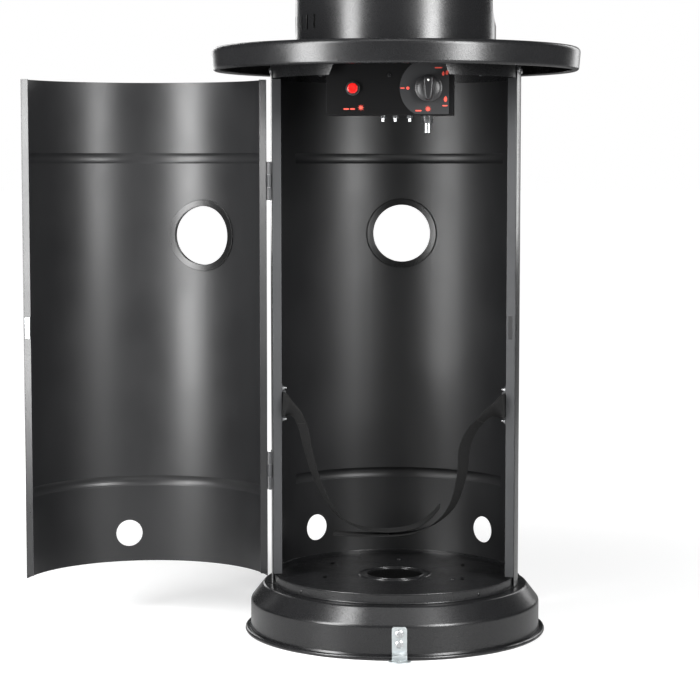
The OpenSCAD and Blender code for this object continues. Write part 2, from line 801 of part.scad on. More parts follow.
// The knob turns on the stem; its back stays clear of the dial plate when it is pushed
module control_knob() {
    back = plate_t + knob_travel + 0.8;
    skirt = 5;
    depth = 18;
    half_l = knob_d * 0.43;
    function grip(inset) = [[8.5 - inset, half_l - inset], [-8.5 + inset, half_l - inset],
                            [-5.5 + inset, -half_l + inset], [5.5 - inset, -half_l + inset]];
    color("#17181a") on_panel(knob_x, control_z) difference() {
        union() {
            translate([0, 0, back]) cylinder(h = skirt, d = knob_d);
            translate([0, 0, back + skirt]) cylinder(h = 3, d1 = knob_d, d2 = knob_d - 8);
            translate([0, 0, back + skirt]) linear_extrude(depth - skirt - 1) polygon(grip(0));
            translate([0, 0, back + depth - 1 - eps]) linear_extrude(1) polygon(grip(1));
        }
        translate([0, 0, -2]) cylinder(h = 20.5, r = stem_r + pin_gap);
        translate([0, pointer_y, back + depth - 0.6]) cylinder(h = 2, d = 3.2);
    }
}

module knob_pointer() {
    back = plate_t + knob_travel + 0.8;
    color("#f4f4f0") on_panel(knob_x, control_z) translate([0, pointer_y, back + 17.4])
        cylinder(h = 0.7, d = 3.2);
}

module small_fittings() {
    color("#d0d3d6") for (x = fitting_x) translate([x, inlet_y, box_bottom]) {
        translate([0, 0, -4]) hex_nut(8, 4, 5);
        translate([0, 0, -9]) cylinder(h = 16, d = 5);
        translate([0, 0, sheet_t]) hex_nut(8, 4, 5);
    }
}

module inlet_fitting() {
    color("#d9dbdd") translate([inlet_x, inlet_y, box_bottom]) difference() {
        union() {
            translate([0, 0, -12]) cylinder(h = 11.9, d = 14 / cos(30), $fn = 6);
            translate([0, 0, -25.3]) cylinder(h = 14, d = 10);
            translate([0, 0, -1]) cylinder(h = 12, d = 9.96);
        }
        translate([0, 0, -30]) cylinder(h = 50, d = 5);
    }
}

module tilt_switch() {
    color("#303236") translate([-20, -112, box_bottom + sheet_t]) {
        cube([26, 16, 30]);
        for (x = [5, 21]) translate([x, 8, 30 - eps]) cylinder(h = 6, d = 3);
    }
}

// ---- Gas line and leads ----

module gas_pipe() {
    color("#b4b7ba") pipe_run(gas_route, 8);
}

module ignition_lead() {
    color("#e4e0d6") pipe_run(spark_route, 4);
}

module thermocouple_line() {
    color("#b87333") pipe_run(sensor_route, 3);
}

module jet_holder() {
    color("#c4a04f") translate([0, 0, jet_z - 8]) {
        difference() {
            cylinder(h = 12, d = 14 / cos(30), $fn = 6);
            translate([0, 0, -eps]) cylinder(h = 8, d = 8.04);
        }
        difference() {
            translate([0, 0, 12 - eps]) cylinder(h = 16, d = 9);
            translate([0, 0, 24]) cylinder(h = 6, d = 1.4);
        }
    }
}

// The mixing tube hangs from the deck and carries the jet holder in a two-legged cage
module mixing_tube() {
    mouth_z = jet_z + 34;
    cage_z = jet_z + 4;
    color("#9da0a3") difference() {
        union() {
            translate([0, 0, mouth_z]) cylinder(h = 24, r1 = 26, r2 = mixer_r);
            translate([0, 0, mouth_z + 24 - eps]) cylinder(h = deck_z - mouth_z - 24 + 16, r = mixer_r);
            translate([0, 0, cage_z]) cylinder(h = 2, r = 26);
            for (s = [-1, 1]) translate([s * 24 - 2, -6, cage_z]) cube([4, 12, 34]);
            translate([0, 0, deck_z - 3]) cylinder(h = 3, r = 24);
        }
        translate([0, 0, mouth_z - eps]) cylinder(h = 24 + 2 * eps, r1 = 24, r2 = mixer_r - 1.5);
        translate([0, 0, mouth_z]) cylinder(h = 500, r = mixer_r - 1.5);
        translate([0, 0, cage_z - 1]) cylinder(h = 4, d = 9.05);
    }
}

// ---- Burner ----

module at_deck_screws() {
    for (phi = [30, 120, 210, 300]) on_wall(phi, tube_r + 0.2 + sheet_t, deck_z - 8) children();
}

module burner_deck() {
    r = tube_r + 0.2 + sheet_t;
    color("#8f9295") difference() {
        union() {
            translate([0, 0, deck_z]) cylinder(h = sheet_t, r = r);
            translate([0, 0, deck_z - 16]) difference() {
                cylinder(h = 16 + eps, r = r);
                translate([0, 0, -1]) cylinder(h = 30, r = tube_r + 0.2);
            }
        }
        translate([0, 0, deck_z - 20]) cylinder(h = 40, r = mixer_r + 0.2);
        for (s = [-1, 1]) translate([s * 40, -52, deck_z - 4]) cylinder(h = 8, d = 5);
        for (i = [0 : 11]) facing(30 * i + 15) translate([134, 0, deck_z - 4]) cylinder(h = 8, d = 12);
        at_deck_screws() translate([0, 0, -6]) cylinder(h = 12, d = 4.2);
        at_reflector_posts() translate([0, 0, -6]) cylinder(h = 12, d = 6);
    }
}

module deck_screws() {
    color("#b9bcc0") at_deck_screws() pan_screw(8, 2.2, 4, 6);
}

module burner_head() {
    base = deck_z + sheet_t;
    color("#a7aaad") difference() {
        union() {
            translate([0, 0, base]) cylinder(h = 22, r = 34);
            translate([0, 0, base + 22 - eps]) cylinder(h = 8, r1 = 34, r2 = 24);
        }
        translate([0, 0, base - 1]) cylinder(h = 18, r = mixer_r + 0.3);
        translate([0, 0, base + 16]) cylinder(h = 8, r = 30);
        for (i = [0 : 15]) facing(22.5 * i) translate([25, 0, base + 19]) rotate([0, 90, 0])
            cylinder(h = 14, d = 4);
    }
}

module pilot_burner() {
    color("#b08d45") translate([40, -52, deck_z + 13]) {
        difference() {
            cylinder(h = 26, d = 9);
            translate([0, 0, 18]) cylinder(h = 10, d = 6);
        }
    }
}

module spark_electrode() {
    color("#eeeae0") translate([-40, -52, deck_z + 13]) {
        cylinder(h = 24, d = 8);
        translate([0, 0, 24 - eps]) cylinder(h = 12, d = 2.4);
    }
}

module emitter_screen() {
    rows = 4;
    columns = 12;
    slot_w = 9;
    slot_h = 36;
    base = deck_z + sheet_t;
    color("#9b9ea1") difference() {
        union() {
            translate([0, 0, base]) difference() {
                cylinder(h = emitter_h, r = emitter_r);
                translate([0, 0, -1]) cylinder(h = emitter_h + 2, r = emitter_r - 1);
            }
            translate([0, 0, base]) difference() {
                cylinder(h = 1, r = emitter_r + 9);
                translate([0, 0, -1]) cylinder(h = 4, r = emitter_r - 1);
            }
        }
        for (k = [0 : rows - 1]) for (i = [0 : columns - 1])
            facing(180 / columns * (i + (k % 2) / 2))
                translate([-emitter_r - 4, -slot_w / 2, base + 14 + k * (emitter_h - 20) / rows])
                    cube([2 * emitter_r + 8, slot_w, slot_h]);
    }
}

module emitter_cap() {
    color("#a7aaad") difference() {
        translate([0, 0, emitter_top - 8]) cylinder(h = 9.2, r = emitter_r + 1.4);
        translate([0, 0, emitter_top - 9]) cylinder(h = 9, r = emitter_r + 0.2);
    }
}

// ---- Reflector ----

module at_reflector_posts() {
    for (phi = post_phi) facing(phi) translate([post_circle_r, 0, deck_z + sheet_t]) children();
}

module reflector_posts() {
    height = reflector_z - sheet_t - deck_z - sheet_t;
    color("#b9bcc0") at_reflector_posts() {
        cylinder(h = height, d = 11);
        translate([0, 0, -8]) cylinder(h = 8 + eps, d = 5.96);
        translate([0, 0, height - eps]) cylinder(h = 9, d = 5.96);
        translate([0, 0, -sheet_t - 5]) difference() {
            cylinder(h = 5, d = 10 / cos(30), $fn = 6);
            translate([0, 0, 1]) cylinder(h = 5, d = 5);
        }
    }
}

module reflector() {
    flat_r = 140;
    drop = 60;
    lip = 14;
    slope_r = (pow(reflector_r - flat_r, 2) + drop * drop) / (2 * drop);
    fall = asin((reflector_r - flat_r) / slope_r);
    path = concat([[0, reflector_z]],
                  arc([flat_r, reflector_z - slope_r], slope_r, 90, 90 - fall, 12),
                  [[reflector_r + 2, reflector_z - drop - lip]]);
    color("#c3c6c9") difference() {
        union() {
            rotate_extrude() polygon(sheet_outline(path, -sheet_t));
            rotate_extrude() translate([reflector_r + 1.4, reflector_z - drop - lip]) circle(2);
        }
        at_reflector_posts() translate([0, 0, 100]) cylinder(h = 400, d = 6);
    }
}

module reflector_nuts() {
    color("#d3d6d9") for (phi = post_phi) facing(phi)
        translate([post_circle_r, 0, reflector_z]) difference() {
            union() {
                cylinder(h = 6, d = 10 / cos(30), $fn = 6);
                translate([0, 0, 6]) sphere(d = 9);
            }
            translate([0, 0, -eps]) cylinder(h = 8.2, d = 5.98);
        }
}

// ---- Door ----

// Swings the closed door open about its hinge axis
module swung() {
    translate([hinge_xy[0], hinge_xy[1], 0]) rotate([0, 0, -door_open])
        translate([-hinge_xy[0], -hinge_xy[1], 0]) children();
}

module door_panel() {
    half = opening_half - edge_gap;
    // The edge flanges pass over the collar as the door shuts
    flange_bottom = max(door_bottom, collar_top + 2);
    color("#2b2d30") swung() difference() {
        union() {
            curved_wall(cabinet_r, sheet_t, -half, half, door_bottom, door_top);
            for (s = [0, 1]) mirror([s, 0, 0]) facing(half)
                translate([shell_in - flange_w, -sheet_t - 0.1, flange_bottom])
                    cube([flange_w + sheet_t / 2, sheet_t, door_top - flange_bottom]);
            for (z = rib_z) rib(cabinet_r, -half + rib_inset, half - rib_inset, z);
        }
        for (z = rib_z)
            rib(cabinet_r - sheet_t, -half + rib_inset + 0.5, half - rib_inset - 0.5, z);
        on_wall(door_porthole_phi, cabinet_r, porthole_z) rear_opening(porthole_d + 4);
        on_wall(door_vent_phi, cabinet_r, vent_z) rear_opening(vent_d);
        at_leaf_rivets(-1) translate([0, 0, -4]) cylinder(h = 8, d = 3.1);
    }
}

module door_porthole_rim() {
    color("#4a4c50") swung() porthole_rim(door_porthole_phi);
}

module door_hinge_leaves() {
    color("#1a1b1d") swung() difference() {
        union() {
            knuckles(door_heights, pin_r + pin_gap);
            leaf(-opening_half, -opening_half + leaf_angle,
                 [[-1, door_heights[0][0]], [door_heights[0][1], hinge_h + 1]]);
        }
        at_leaf_rivets(-1) translate([0, 0, -4]) cylinder(h = 8, d = 3.1);
    }
}

module door_leaf_rivets() {
    color("#8d9093") swung() at_leaf_rivets(-1) rivet(6, 2.4);
}

// A steel plate on the free edge that meets the magnet when the door is shut
module door_strike() {
    half = opening_half - edge_gap;
    strike_t = 2.2;
    color("#b9bcc0") swung() facing(half)
        translate([shell_in - flange_w + 1, 0, magnet_z - 16]) cube([7, strike_t, 32]);
}

// ---- Parts drawn ----

base_pan();
base_collar();
floor_plate();
ground_brackets();
bracket_screws();
bracket_nuts();
collar_rivets();
cabinet_shell();
hinge_post();
latch_post();
shell_foot_screws();
top_collar();
shell_top_screws();
rear_porthole_rim();
fixed_hinge_leaves();
hinge_pins();
fixed_leaf_rivets();
door_magnet();
strap_anchors();
strap_anchor_screws();
strap_left();
strap_right();
table_top();
table_screws();
upper_tube();
tube_screws();
control_box();
box_screws();
dial_plate();
igniter_bezel();
igniter_body();
valve_body();
small_fittings();
inlet_fitting();
tilt_switch();
gas_pipe();
ignition_lead();
thermocouple_line();
jet_holder();
mixing_tube();
burner_deck();
deck_screws();
burner_head();
pilot_burner();
spark_electrode();
emitter_screen();
emitter_cap();
reflector_posts();
reflector();
reflector_nuts();
door_panel();
door_porthole_rim();
door_hinge_leaves();
door_leaf_rivets();
door_strike();
igniter_button();
valve_stem();
control_knob();
knob_pointer();
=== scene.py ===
"""Looks of the gas patio heater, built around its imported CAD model.

Metres. The origin is on the ground at the centre of the base, +Z is up and the door opening faces -Y.
An angle "phi" is measured from the front (-Y) toward +X.
"""

import json
import math
import random

import bmesh
import bpy
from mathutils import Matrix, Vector


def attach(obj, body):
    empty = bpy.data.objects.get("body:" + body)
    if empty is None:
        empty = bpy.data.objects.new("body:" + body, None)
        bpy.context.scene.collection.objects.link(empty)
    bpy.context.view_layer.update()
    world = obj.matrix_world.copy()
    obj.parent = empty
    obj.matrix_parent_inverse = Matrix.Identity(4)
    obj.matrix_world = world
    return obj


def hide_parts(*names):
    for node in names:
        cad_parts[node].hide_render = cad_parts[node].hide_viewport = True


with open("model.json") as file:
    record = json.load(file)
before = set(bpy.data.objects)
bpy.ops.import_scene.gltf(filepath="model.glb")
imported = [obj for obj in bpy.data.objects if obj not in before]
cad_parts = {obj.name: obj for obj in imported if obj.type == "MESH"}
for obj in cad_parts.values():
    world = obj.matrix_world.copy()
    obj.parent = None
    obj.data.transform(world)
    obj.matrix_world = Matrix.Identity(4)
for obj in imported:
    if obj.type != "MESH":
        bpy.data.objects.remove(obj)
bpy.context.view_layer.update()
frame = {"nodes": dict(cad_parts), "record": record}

MM = 0.001
SEED = 7

# ---- Driving sizes, as in the CAD model ----

CONTROL_Z = 829 * MM
KNOB_X = 57 * MM
BUTTON_X = -54 * MM
PANEL_Y = -150 * MM
PLATE_T = 0.8 * MM
DECK_Z = 1420 * MM
EMITTER_R = 95 * MM
EMITTER_H = 220 * MM
STRAP_W = 36 * MM
STRAP_T = 2 * MM
STRAP_LEFT_ROUTE = [
    (-171.6, -32, 353.5), (-168.6, -43.6, 353.5), (-160, -55, 351), (-146, -59, 340), (-136, -57, 316),
    (-130, -54, 286), (-116, -49, 238), (-90, -46, 189), (-58, -45, 167), (-15, -44, 160),
    (30, -44, 166), (56, -44, 182), (71, -44, 199),
]
STRAP_RIGHT_ROUTE = [
    (171.6, -32, 353.5), (168.6, -43.6, 353.5), (160, -55, 351), (142, -59, 341), (121, -57, 318),
    (109, -54, 290), (105, -49, 248), (92, -46, 203), (68, -45, 175), (32, -44, 158),
    (-15, -44, 153), (-58, -45, 153), (-92, -46, 155),
]


# ---- Camera, at the photograph's viewing angle ----

def make_camera():
    data = bpy.data.cameras.new("camera")
    data.sensor_width = 36
    data.lens = 110.24
    data.clip_end = 100
    camera = bpy.data.objects.new("camera", data)
    camera.location = (0.1830, -3.2873, 0.7161)
    camera.rotation_euler = (math.radians(90 - 4.906), 0, math.radians(4.395))
    bpy.context.scene.collection.objects.link(camera)
    bpy.context.scene.camera = camera


# ---- Light ----

def soft_box(name, phi, distance, height, size, watts, aim_z=None):
    """A rectangular studio lamp at an angle phi around the heater, turned to the heater's axis."""
    data = bpy.data.lights.new(name, "AREA")
    data.shape = "RECTANGLE"
    data.size, data.size_y = size
    data.energy = watts
    lamp = bpy.data.objects.new(name, data)
    angle = math.radians(phi)
    lamp.location = (distance * math.sin(angle), -distance * math.cos(angle), height)
    target = Vector((0, 0, height if aim_z is None else aim_z))
    lamp.rotation_euler = (target - lamp.location).to_track_quat("-Z", "Y").to_euler()
    lamp.visible_camera = False
    bpy.context.scene.collection.objects.link(lamp)


def light_studio():
    soft_box("soft_box_left", -46, 1.3, 1.15, (0.38, 1.9), 46)
    soft_box("soft_box_right", 43, 2.0, 1.55, (0.55, 1.9), 90)
    soft_box("soft_box_rear_left", 205, 3.0, 1.5, (0.6, 2.0), 14)
    soft_box("soft_box_rear_right", 150, 3.0, 1.5, (0.6, 2.0), 14)
    soft_box("soft_box_above", 10, 0.9, 3.2, (1.8, 1.8), 16, aim_z=0.8)


def pale_world():
    """White where the camera sees past the floor, and a softer grey as light on the object."""
    world = bpy.data.worlds.new("studio")
    bpy.context.scene.world = world
    world.use_nodes = True
    nodes, links = world.node_tree.nodes, world.node_tree.links
    nodes.clear()
    path = nodes.new("ShaderNodeLightPath")
    seen = nodes.new("ShaderNodeBackground")
    seen.inputs["Color"].default_value = (1, 1, 1, 1)
    seen.inputs["Strength"].default_value = 1.0
    ambient = nodes.new("ShaderNodeBackground")
    ambient.inputs["Color"].default_value = (0.97, 0.985, 1, 1)
    ambient.inputs["Strength"].default_value = 0.04
    mix = nodes.new("ShaderNodeMixShader")
    out = nodes.new("ShaderNodeOutputWorld")
    links.new(path.outputs["Is Camera Ray"], mix.inputs[0])
    links.new(ambient.outputs[0], mix.inputs[1])
    links.new(seen.outputs[0], mix.inputs[2])
    links.new(mix.outputs[0], out.inputs["Surface"])


def lay_floor():
    """A wide pale floor that turns to plain white with distance, so that it meets the background."""
    mesh = bpy.data.meshes.new("floor")
    bm = bmesh.new()
    bmesh.ops.create_circle(bm, cap_ends=True, segments=96, radius=60)
    bm.to_mesh(mesh)
    bm.free()
    floor = bpy.data.objects.new("floor", mesh)
    bpy.context.scene.collection.objects.link(floor)
    material = bpy.data.materials.new("pale_floor")
    material.use_nodes = True
    nodes, links = material.node_tree.nodes, material.node_tree.links
    shader = nodes["Principled BSDF"]
    shader.inputs["Base Color"].default_value = (0.55, 0.55, 0.55, 1)
    shader.inputs["Roughness"].default_value = 0.55
    shader.inputs["Emission Color"].default_value = (1, 1, 1, 1)
    place = nodes.new("ShaderNodeTexCoord")
    length = nodes.new("ShaderNodeVectorMath")
    length.operation = "LENGTH"
    far = nodes.new("ShaderNodeMapRange")
    far.interpolation_type = "SMOOTHSTEP"
    far.inputs["From Min"].default_value = 0.45
    far.inputs["From Max"].default_value = 2.2
    far.inputs["To Min"].default_value = 0.55
    far.inputs["To Max"].default_value = 1.0
    links.new(place.outputs["Object"], length.inputs[0])
    links.new(length.outputs["Value"], far.inputs["Value"])
    path = nodes.new("ShaderNodeLightPath")
    seen = nodes.new("ShaderNodeMapRange")
    seen.inputs["To Min"].default_value = 0.12
    links.new(path.outputs["Is Camera Ray"], seen.inputs["Value"])
    links.new(far.outputs["Result"], seen.inputs["To Max"])
    links.new(seen.outputs["Result"], shader.inputs["Emission Strength"])
    mesh.materials.append(material)


# ---- Materials ----

def node(tree, kind, **values):
    """Adds a shader node. A value whose name is a property sets it, any other sets the input of that name."""
    made = tree.nodes.new(kind)
    for name, value in values.items():
        if hasattr(made, name):
            setattr(made, name, value)
        else:
            made.inputs[name.replace("_", " ")].default_value = value
    return made


def scaled(colour, factor):
    return (*[min(1.0, c * factor) for c in colour], 1)


def blend_colours(tree, factor, first, second):
    """A colour between two colours, by the value of a socket."""
    mix = node(tree, "ShaderNodeMix", data_type="RGBA")
    tree.links.new(factor, mix.inputs[0])
    for socket, colour in ((mix.inputs[6], first), (mix.inputs[7], second)):
        if isinstance(colour, bpy.types.NodeSocket):
            tree.links.new(colour, socket)
        else:
            socket.default_value = colour
    return mix.outputs[2]


def ranged(tree, value, low, high, to_low, to_high):
    span = node(tree, "ShaderNodeMapRange", interpolation_type="SMOOTHSTEP")
    for name, number in (("From Min", low), ("From Max", high), ("To Min", to_low), ("To Max", to_high)):
        span.inputs[name].default_value = number
    tree.links.new(value, span.inputs["Value"])
    return span.outputs["Result"]


def edge_mask(tree, rounded):
    """1 on sharp outer and inner edges, 0 on flat faces."""
    facet = node(tree, "ShaderNodeNewGeometry")
    dot = node(tree, "ShaderNodeVectorMath", operation="DOT_PRODUCT")
    tree.links.new(rounded, dot.inputs[0])
    tree.links.new(facet.outputs["Normal"], dot.inputs[1])
    return ranged(tree, dot.outputs["Value"], 0.995, 0.90, 0, 1)


def surface(name, colour, rough, spread=0.12, rough_spread=0.06, metallic=0.0, grain=900, depth=0.03,
            patch=7, edge_radius=0.7, worn=None, wear=0.5, relief=None, rough_by_place=None, **sockets):
    """A procedural finish: colour drifting over the piece, a fine grain in bump and roughness,
    softly rounded edges, and a worn colour along them."""
    material = bpy.data.materials.new(name)
    material.use_nodes = True
    tree = material.node_tree
    links = tree.links
    shader = tree.nodes["Principled BSDF"]
    shader.inputs["Metallic"].default_value = metallic
    for socket, value in sockets.items():
        shader.inputs[socket.replace("_", " ")].default_value = value
    place = node(tree, "ShaderNodeTexCoord").outputs["Object"]
    drift = node(tree, "ShaderNodeTexNoise", Scale=patch, Detail=5.0, Roughness=0.6)
    fine = node(tree, "ShaderNodeTexNoise", Scale=grain, Detail=2.0, Roughness=0.6)
    links.new(place, drift.inputs["Vector"])
    links.new(place, fine.inputs["Vector"])
    tone = blend_colours(tree, drift.outputs["Fac"], scaled(colour, 1 - spread), scaled(colour, 1 + spread))
    round_edge = node(tree, "ShaderNodeBevel", samples=4, Radius=edge_radius * MM)
    if worn is not None:
        edges = edge_mask(tree, round_edge.outputs["Normal"])
        rubbed = ranged(tree, drift.outputs["Fac"], 0.35, 0.65, 0.25 * wear, wear)
        both = node(tree, "ShaderNodeMath", operation="MULTIPLY")
        links.new(edges, both.inputs[0])
        links.new(rubbed, both.inputs[1])
        tone = blend_colours(tree, both.outputs[0], tone, (*worn, 1))
    links.new(tone, shader.inputs["Base Color"])
    grain_and_drift = node(tree, "ShaderNodeMath", operation="ADD")
    links.new(fine.outputs["Fac"], grain_and_drift.inputs[0])
    links.new(drift.outputs["Fac"], grain_and_drift.inputs[1])
    roughness = ranged(tree, grain_and_drift.outputs[0], 0.6, 1.4, rough - rough_spread, rough + rough_spread)
    if rough_by_place is not None:
        change = node(tree, "ShaderNodeMath", operation="ADD")
        links.new(roughness, change.inputs[0])
        links.new(rough_by_place(tree, place), change.inputs[1])
        roughness = change.outputs[0]
    links.new(roughness, shader.inputs["Roughness"])
    height = fine.outputs["Fac"]
    if relief is not None:
        height = relief(tree, place, height)
    bump = node(tree, "ShaderNodeBump", Strength=1.0, Distance=depth * MM)
    links.new(height, bump.inputs["Height"])
    links.new(round_edge.outputs["Normal"], bump.inputs["Normal"])
    links.new(bump.outputs["Normal"], shader.inputs["Normal"])
    return material


def spun_rings(tree, place, height):
    """Fine turning marks in rings around the vertical axis."""
    rings = node(tree, "ShaderNodeTexWave", wave_type="RINGS", rings_direction="Z", Scale=420.0,
                 Distortion=0.6, Detail=2.0)
    tree.links.new(place, rings.inputs["Vector"])
    both = node(tree, "ShaderNodeMath", operation="MULTIPLY_ADD")
    tree.links.new(rings.outputs["Fac"], both.inputs[0])
    both.inputs[1].default_value = 0.8
    tree.links.new(height, both.inputs[2])
    return both.outputs[0]


def brushed_up(tree, place, height):
    """Hairline marks that run around a standing tube."""
    stretch = node(tree, "ShaderNodeMapping")
    stretch.inputs["Scale"].default_value = (4, 4, 900)
    lines = node(tree, "ShaderNodeTexNoise", Scale=1.0, Detail=3.0)
    tree.links.new(place, stretch.inputs["Vector"])
    tree.links.new(stretch.outputs["Vector"], lines.inputs["Vector"])
    both = node(tree, "ShaderNodeMath", operation="ADD")
    tree.links.new(lines.outputs["Fac"], both.inputs[0])
    tree.links.new(height, both.inputs[1])
    return both.outputs[0]


def zinc_flowers(tree, place, height):
    """The crystal pattern of a zinc coat."""
    crystals = node(tree, "ShaderNodeTexVoronoi", Scale=260.0)
    tree.links.new(place, crystals.inputs["Vector"])
    both = node(tree, "ShaderNodeMath", operation="ADD")
    tree.links.new(crystals.outputs["Distance"], both.inputs[0])
    tree.links.new(height, both.inputs[1])
    return both.outputs[0]


BLACK = (0.0085, 0.0086, 0.0092)
WORN_BLACK = (0.05, 0.051, 0.053)
DOOR_CENTRE = (-0.36819, -0.12319)


def inside_is_dull(centre, outer, inner):
    """Roughness of a curved wall around a vertical axis: one value outside, a duller one inside."""
    def rough(tree, place):
        geometry = node(tree, "ShaderNodeNewGeometry")
        from_axis = node(tree, "ShaderNodeVectorMath", operation="SUBTRACT")
        from_axis.inputs[1].default_value = (*centre, 0)
        flat = node(tree, "ShaderNodeVectorMath", operation="MULTIPLY")
        flat.inputs[1].default_value = (1, 1, 0)
        outward = node(tree, "ShaderNodeVectorMath", operation="DOT_PRODUCT")
        tree.links.new(place, from_axis.inputs[0])
        tree.links.new(from_axis.outputs[0], flat.inputs[0])
        tree.links.new(flat.outputs[0], outward.inputs[0])
        tree.links.new(geometry.outputs["Normal"], outward.inputs[1])
        return ranged(tree, outward.outputs["Value"], -0.05, 0.05, inner, outer)
    return rough


def make_finishes():
    """One material for each slot of the record."""
    return {
        "black_coat": surface("black_coat", BLACK, 0.27, spread=0.18, depth=0.02, worn=WORN_BLACK, wear=0.5),
        # post_coat is the same black powder coat as black_coat with a lighter base colour: painted light, for the
        # posts lit by the front lamps
        "post_coat": surface("post_coat", (0.035, 0.036, 0.038), 0.40, spread=0.12, depth=0.02,
                             worn=(0.2, 0.2, 0.21), wear=0.6),
        "galvanised": surface("galvanised", (0.64, 0.68, 0.69), 0.38, spread=0.1, rough_spread=0.12,
                              metallic=1.0, grain=500, patch=60, relief=zinc_flowers, depth=0.03),
        "bright_screws": surface("bright_screws", (0.60, 0.61, 0.62), 0.28, metallic=1.0, patch=90,
                                 edge_radius=0.25, worn=(0.5, 0.48, 0.45), wear=0.3),
        "box_coat": surface("box_coat", (0.004, 0.004, 0.0042), 0.5, spread=0.2, grain=1400, depth=0.05,
                            worn=(0.06, 0.06, 0.062), wear=0.6, Specular_IOR_Level=0.1),
        "dial_grey": surface("dial_grey", (0.018, 0.0184, 0.0195), 0.46, grain=1600, depth=0.02,
                             edge_radius=0.3, worn=(0.12, 0.12, 0.12), wear=0.4),
        "black_plastic": surface("black_plastic", (0.016, 0.016, 0.017), 0.36, grain=1800, depth=0.03,
                                 edge_radius=0.6, worn=(0.05, 0.05, 0.05), wear=0.5),
        "red_print": surface("red_print", (0.90, 0.10, 0.065), 0.5, spread=0.08, edge_radius=0.1),
        "red_plastic": surface("red_plastic", (0.74, 0.012, 0.010), 0.25, spread=0.05, grain=900,
                               depth=0.008, edge_radius=0.4, Coat_Weight=0.4),
        "white_plastic": surface("white_plastic", (0.84, 0.84, 0.80), 0.32, spread=0.03, edge_radius=0.3),
        "brass": surface("brass", (0.70, 0.50, 0.21), 0.30, metallic=1.0, patch=60, grain=700,
                         worn=(0.82, 0.66, 0.36), wear=0.7),
        "stainless": surface("stainless", (0.56, 0.555, 0.55), 0.33, metallic=1.0, patch=16,
                             relief=brushed_up, depth=0.02, worn=(0.75, 0.75, 0.75), wear=0.5),
        "aluminium": surface("aluminium", (0.79, 0.80, 0.81), 0.34, spread=0.04, metallic=1.0, patch=5,
                             relief=spun_rings, depth=0.02, worn=(0.9, 0.9, 0.9), wear=0.5),
        "copper": surface("copper", (0.72, 0.36, 0.21), 0.30, metallic=1.0, patch=40, spread=0.2),
        "lead_cover": surface("lead_cover", (0.70, 0.66, 0.58), 0.55, patch=50, grain=1500, depth=0.05),
        "ceramic": surface("ceramic", (0.86, 0.83, 0.76), 0.22, spread=0.05, patch=60, Coat_Weight=0.5),
        "webbing": surface("webbing", (0.0045, 0.0045, 0.0046), 0.85, spread=0.35, grain=1900, depth=0.25,
                           patch=120, Specular_IOR_Level=0.3),
        "hook_tape": surface("hook_tape", (0.007, 0.007, 0.0072), 0.9, spread=0.4, grain=2600, depth=0.4,
                             patch=160, Specular_IOR_Level=0.3),
        "thread": surface("thread", (0.018, 0.018, 0.017), 0.6, patch=300, grain=2600, depth=0.1),
    }


def finish_frame(finishes):
    """Gives every CAD node the finish of its slot; the two curved walls are duller inside."""
    own = {}
    for name, centre, inner in (("cabinet_shell", (0, 0), 0.15), ("door_panel", DOOR_CENTRE, 0.11)):
        own[name] = surface(name + "_coat", BLACK, 0.27, spread=0.18, depth=0.02, worn=WORN_BLACK, wear=0.5,
                            rough_by_place=inside_is_dull(centre, 0, inner))
    for name in ("rear_porthole_rim", "door_porthole_rim"):
        own[name] = surface(name + "_coat", (0.004, 0.004, 0.0043), 0.30, edge_radius=1.6, depth=0.01,
                            worn=WORN_BLACK, wear=0.4)
    for part in frame["record"]["subparts"]:
        mesh = frame["nodes"][part["node"]].data
        mesh.materials.clear()
        mesh.materials.append(own.get(part["node"]) or finishes[part["material_slot"]])


# ---- Mesh helpers ----

def new_piece(name, bm, finish, body, smooth=True):
    """Makes an object of a bmesh, with its finish, on its body."""
    bmesh.ops.recalc_face_normals(bm, faces=bm.faces)
    mesh = bpy.data.meshes.new(name)
    bm.to_mesh(mesh)
    bm.free()
    for polygon in mesh.polygons:
        polygon.use_smooth = smooth
    mesh.materials.append(finish)
    piece = bpy.data.objects.new(name, mesh)
    bpy.context.scene.collection.objects.link(piece)
    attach(piece, body)
    return piece


def on_panel(x, z, out):
    """The place of a point on the control box front: x across, z up from the ground, out toward the user."""
    return Vector((x, PANEL_Y - out, z))


def grid_faces(bm, rows, closed_rows=False, closed_columns=False):
    """Joins rows of vertices into quads."""
    row_count = len(rows) if closed_rows else len(rows) - 1
    for i in range(row_count):
        first, second = rows[i], rows[(i + 1) % len(rows)]
        column_count = len(first) if closed_columns else len(first) - 1
        for k in range(column_count):
            n = (k + 1) % len(first)
            bm.faces.new((first[k], first[n], second[n], second[k]))


def lathe(bm, profile, place, segments=64, wave=None):
    """Turns a profile of (radius, out) points; place(x, z, out) puts a point in the frame.
    wave(angle) scales the radius, for flutes."""
    rings = []
    for radius, out in profile:
        ring = []
        for i in range(segments):
            a = 2 * math.pi * i / segments
            r = radius * (wave(a) if wave else 1)
            ring.append(bm.verts.new(place(r * math.cos(a), r * math.sin(a), out)))
        rings.append(ring)
    grid_faces(bm, rings, closed_columns=True)
    bm.faces.new(rings[0])
    bm.faces.new(rings[-1])


def fillet(centre, radius, start, end, steps=6):
    """Points on an arc of a (radius, out) profile, between two angles in degrees."""
    points = []
    for i in range(steps + 1):
        a = math.radians(start + (end - start) * i / steps)
        points.append((centre[0] + radius * math.cos(a), centre[1] + radius * math.sin(a)))
    return points


# ---- Control panel ----

